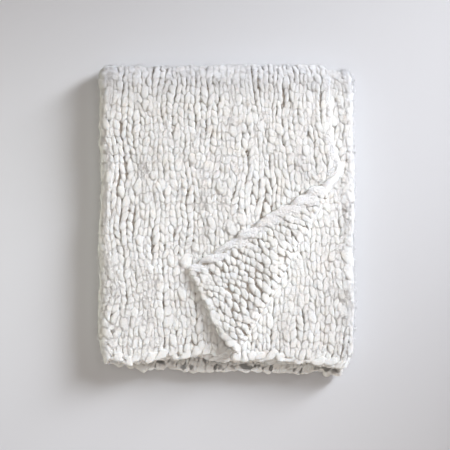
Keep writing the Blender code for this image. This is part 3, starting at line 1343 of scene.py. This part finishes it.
# ---- pieces -------------------------------------------------------------------------------
@dataclass
class Workshop:
    """Turns strands into folded pieces that ride on the blanket's body."""

    yarn_tree: YarnTree
    fold: Fold
    made: list[bpy.types.Object] = field(default_factory=list)

    def finish(self, obj: bpy.types.Object) -> bpy.types.Object:
        """Ride the piece on its body.

        Args:
            obj: the piece.

        Returns:
            The same piece.
        """
        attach(obj, BODY)
        self.made.append(obj)
        obj.data.calc_loop_triangles()
        LOG.info("%s: %d triangles", obj.name, len(obj.data.loop_triangles))
        return obj

    def weave(
        self,
        name: str,
        strands: Sequence[Strand],
        material: bpy.types.Material,
        place: Callable[[np.ndarray], np.ndarray],
        **settings: float,
    ) -> bpy.types.Object:
        """Sweep strands to tubes and fold them.

        Args:
            name: the piece's name.
            strands: the yarn paths.
            material: the yarn's material.
            place: carries rows of (u, v, n) into the folded blanket.
            **settings: values for the yarn tree, by YarnInput name in lower case.

        Returns:
            The finished piece.
        """
        obj = path_object(name, strands)
        modifier = obj.modifiers.new("yarn", "NODES")
        modifier.node_group = self.yarn_tree.tree
        values = {YarnInput.MATERIAL: material}
        values.update({YarnInput[key.upper()]: value for key, value in settings.items()})
        for item, value in values.items():
            modifier[self.yarn_tree.identifier(item)] = value
        graph = bpy.context.evaluated_depsgraph_get()
        mesh = bpy.data.meshes.new_from_object(obj.evaluated_get(graph), depsgraph=graph)
        obj.modifiers.clear()
        paths = obj.data
        obj.data = mesh
        bpy.data.meshes.remove(paths)
        mesh.name = name
        flat = np.empty(len(mesh.vertices) * 3)
        mesh.vertices.foreach_get("co", flat)
        flat = flat.reshape(-1, 3)
        mesh.vertices.foreach_set("co", place(flat).ravel())
        face = facing(flat, place).astype(np.float32).ravel()
        mesh.attributes.new("face_of_cloth", "FLOAT_VECTOR", "POINT").data.foreach_set("vector", face)
        self.mark_depth(mesh, flat)
        mesh.update()
        return self.finish(obj)

    def mark_depth(self, mesh: bpy.types.Mesh, flat: np.ndarray) -> None:
        """Keep how deep in the cloth each vertex lies, for the painted shade in its material."""
        deep = depth_of(flat, self.fold.half_length).astype(np.float32)
        mesh.attributes.new("deep_in_cloth", "FLOAT", "POINT").data.foreach_set("value", deep)


def facing(flat: np.ndarray, place: Callable[[np.ndarray], np.ndarray]) -> np.ndarray:
    """Which way the cloth's nearer face looks at each point, fading out at its middle surface.

    Args:
        flat: rows of (u, v, n).
        place: carries them into the folded blanket.

    Returns:
        Rows of directions.
    """
    step = np.array([0.0, 0.0, FACE_STEP])
    out = place(flat + step) - place(flat - step)
    out /= np.maximum(np.linalg.norm(out, axis=1, keepdims=True), TINY)
    return out * np.tanh(flat[:, 2:] / FACE_FADE)


def depth_of(flat: np.ndarray, front: float) -> np.ndarray:
    """How deep in the cloth each point lies: 1 at its middle surface, 0 on its faces and front edges."""
    inside = smooth((front - np.abs(flat[:, 1])) / HOLLOW_MARGIN - 0.5)
    return smooth(HOLLOW_STEEPNESS * (1.0 - np.abs(flat[:, 2]) / HOLLOW_DEPTH)) * inside


def path_object(name: str, strands: Sequence[Strand]) -> bpy.types.Object:
    """A mesh of edge chains with the attributes that the yarn tree reads.

    Args:
        name: the object's name.
        strands: the yarn paths.

    Returns:
        The object, in the scene.
    """
    points = np.concatenate([s.points for s in strands])
    sizes = [len(s.points) for s in strands]
    ends = np.cumsum(sizes)
    edges = np.stack([np.arange(len(points) - 1), np.arange(1, len(points))], axis=1)
    edges = np.delete(edges, ends[:-1] - 1, axis=0)
    mesh = bpy.data.meshes.new(name)
    mesh.from_pydata(points.tolist(), edges.tolist(), [])
    columns = {
        "thick": np.concatenate([s.thick for s in strands]),
        "along": np.concatenate([s.along() for s in strands]),
        "strand": np.repeat([s.number for s in strands], sizes),
    }
    for key, values in columns.items():
        mesh.attributes.new(key, "FLOAT", "POINT").data.foreach_set("value", values.astype(np.float32))
    obj = bpy.data.objects.new(name, mesh)
    bpy.context.scene.collection.objects.link(obj)
    return obj


def spaced(stops: Sequence[tuple[float, float]], end: float) -> np.ndarray:
    """Marks along a line, closer in some stretches than in others.

    Args:
        stops: where each stretch starts, and the spacing of its marks.
        end: where the last stretch ends.

    Returns:
        The marks, rising.
    """
    marks = []
    for (start, spacing), (after, _) in zip(stops, [*stops[1:], (end, 0.0)]):
        count = max(1, round((after - start) / spacing))
        marks.extend(start + (after - start) * i / count for i in range(count))
    return np.array([*marks, end])


@dataclass(frozen=True)
class Backing:
    """The cloth's middle surface, which shows between the stitches, coloured with painted shade for the
    depth there.
    """

    fold: Fold
    name: str = "backing_cloth"
    margin: float = 0.006
    sink: float = 0.0006  # below the middle surface, away from the knit side
    across_spacing: tuple[float, ...] = (0.007, 0.004, 0.040, 0.0025, 0.016)  # three panels, two turns
    along_spacing: tuple[float, ...] = (0.020, 0.0055, 0.007)  # lower half, turn at the back, upper half

    def build(self, workshop: Workshop, material: bpy.types.Material) -> bpy.types.Object:
        """Make the sheet.

        Args:
            workshop: where the piece is finished.
            material: the sheet's material.

        Returns:
            The finished piece.
        """
        fold = self.fold
        front = fold.half_length - self.margin
        parts_across = (self.margin, fold.top_panel, fold.middle_start, fold.middle_end, fold.inner_start)
        parts_along = (-front, -fold.back_arc, fold.back_arc)
        across = spaced(list(zip(parts_across, self.across_spacing)), fold.width - self.margin)
        along = spaced(list(zip(parts_along, self.along_spacing)), front)
        u, v = np.meshgrid(across, along)
        flat = np.stack([u.ravel(), v.ravel(), np.full(u.size, -self.sink)], axis=1)
        columns = len(across)
        corner = (np.arange(len(along) - 1)[:, None] * columns + np.arange(columns - 1)).ravel()
        faces = np.stack([corner, corner + 1, corner + 1 + columns, corner + columns], axis=1)
        mesh = bpy.data.meshes.new(self.name)
        mesh.from_pydata(fold.place(flat).tolist(), [], faces.tolist())
        mesh.shade_smooth()
        workshop.mark_depth(mesh, flat)
        mesh.materials.append(material)
        obj = bpy.data.objects.new(self.name, mesh)
        bpy.context.scene.collection.objects.link(obj)
        return workshop.finish(obj)


@dataclass
class Blanket:
    """The whole blanket: backing, knitted bands, edges and fuzz."""

    fold: Fold = field(default_factory=Fold)

    def build(self) -> None:
        """Make every piece and hide the solid's blanket."""
        workshop = Workshop(YarnTree(), self.fold)
        knit = Knit(self.fold)
        slubs = Slubs(knit)
        yarn = YARN_WOOL.material()
        edge = EDGE_WOOL.material()
        backing = Backing(self.fold).build(workshop, BACKING_SHADE_WOOL.material())

        def pressed(flat: np.ndarray) -> np.ndarray:
            """Press the yarn, then fold it."""
            return self.fold.place(knit.press(flat))

        for band in BANDS:
            courses = range(band.first, band.last + 1)
            strands = [strand for course in courses for strand in knit.strands(course, band.steps, slubs)]
            workshop.weave(band.name, strands, yarn, pressed, sides=band.sides)
        for item in edges_of(self.fold):
            workshop.weave(item.name, list(item.strands()), yarn if item.along_u else edge, pressed)
        fibres = list(Fuzz(self.fold).strands())
        still = {"slub_depth": 0.0, "lump_depth": 0.0, "jitter": 0.0, "fluff": 0.0, "sides": 3}
        workshop.weave("stray_fibres", fibres, FIBRE_WOOL.material(), self.fold.place, **still)
        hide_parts(NODE)
        [piece for piece in workshop.made if piece is not backing]


# ---- stage --------------------------------------------------------------------------------
@dataclass(frozen=True)
class Lamp:
    """One soft light."""

    name: str
    place: tuple[float, float, float]
    aim: tuple[float, float]  # the place on the floor that it faces
    size: tuple[float, float]
    spread: float  # degrees
    power: float  # watts
    colour: tuple[float, float, float]

    def build(self) -> None:
        """Hang the light."""
        data = bpy.data.lights.new(self.name, "AREA")
        data.energy = self.power
        data.color = self.colour
        data.shape = "RECTANGLE"
        data.size, data.size_y = self.size
        data.spread = math.radians(self.spread)
        light = bpy.data.objects.new(self.name, data)
        bpy.context.scene.collection.objects.link(light)
        light.location = self.place
        away = np.array(self.place) - np.array((*self.aim, 0.0))
        away /= np.linalg.norm(away)
        light.rotation_euler = (math.acos(away[2]), 0.0, math.atan2(away[1], away[0]) + math.pi / 2)


LAMPS = (
    Lamp(
        "key",
        place=(1.997, 1.353, 1.464),
        aim=(-0.417, -0.343),
        size=(0.739, 1.898),
        spread=48.9,
        power=14.55,
        colour=(0.907, 0.938, 1.0),
    ),
    Lamp(
        "overhead",
        place=(0.23, 0.15, 3.25),
        aim=(0.23, 0.15),
        size=(2.0, 2.0),
        spread=180.0,
        power=23.6,
        colour=(1.0, 0.979, 0.984),
    ),
    Lamp(
        "side",
        place=(-1.10, 0.0, 0.18),
        aim=(-0.30, 0.0),
        size=(0.8, 0.25),
        spread=80.0,
        power=0.64,
        colour=(0.96, 1.0, 0.86),
    ),
    Lamp(
        "front",
        place=(0.0, -1.25, 0.18),
        aim=(0.0, -0.30),
        size=(1.0, 0.25),
        spread=80.0,
        power=0.78,
        colour=(1.0, 0.93, 0.86),
    ),
)


@dataclass(frozen=True)
class Stage:
    """Camera straight above the pack, a pale floor, the lamps and an even warm fill."""

    fold: Fold
    pixel: float = 0.00209  # metres across one pixel of the framing
    pixels: int = 450
    centre: tuple[float, float] = (-0.0038, -0.0146)
    camera_height: float = 2.6
    film: float = 36.0  # width of the camera's sensor, in millimetres
    floor_reach: float = 4.0
    fill_strength: float = 0.213
    fill_colour: tuple[float, float, float] = (1.000, 0.818, 0.692)

    def build(self) -> None:
        """Make it all."""
        self.camera()
        self.floor()
        for lamp in LAMPS:
            lamp.build()
        self.fill()
        bpy.context.scene.view_settings.view_transform = "Standard"

    def camera(self) -> None:
        """Straight above the pack, as it is framed."""
        data = bpy.data.cameras.new("camera")
        camera = bpy.data.objects.new("camera", data)
        bpy.context.scene.collection.objects.link(camera)
        camera.location = (*self.centre, self.camera_height)
        distance = self.camera_height - 2 * self.fold.mid_height
        data.lens_unit = "MILLIMETERS"
        data.sensor_width = self.film
        data.lens = data.sensor_width * distance / (self.pixels * self.pixel)
        bpy.context.scene.camera = camera

    def floor(self) -> None:
        """A wide flat floor."""
        mesh = bpy.data.meshes.new("floor")
        reach = self.floor_reach
        corners = [(-reach, -reach, 0), (reach, -reach, 0), (reach, reach, 0), (-reach, reach, 0)]
        mesh.from_pydata(corners, [], [(0, 1, 2, 3)])
        mesh.materials.append(FloorPaint().material())
        floor = bpy.data.objects.new("floor", mesh)
        bpy.context.scene.collection.objects.link(floor)

    def fill(self) -> None:
        """An even warm fill."""
        world = bpy.data.worlds.new("studio")
        world.use_nodes = True
        background = world.node_tree.nodes["Background"]
        background.inputs["Color"].default_value = (*self.fill_colour, 1.0)
        background.inputs["Strength"].default_value = self.fill_strength
        bpy.context.scene.world = world


def main() -> None:
    """Build the blanket and its stage."""
    logging.basicConfig(level=logging.INFO, format="%(name)s %(message)s")
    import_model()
    blanket = Blanket()
    blanket.build()
    Stage(blanket.fold).build()


if __name__ == "__main__":
    main()
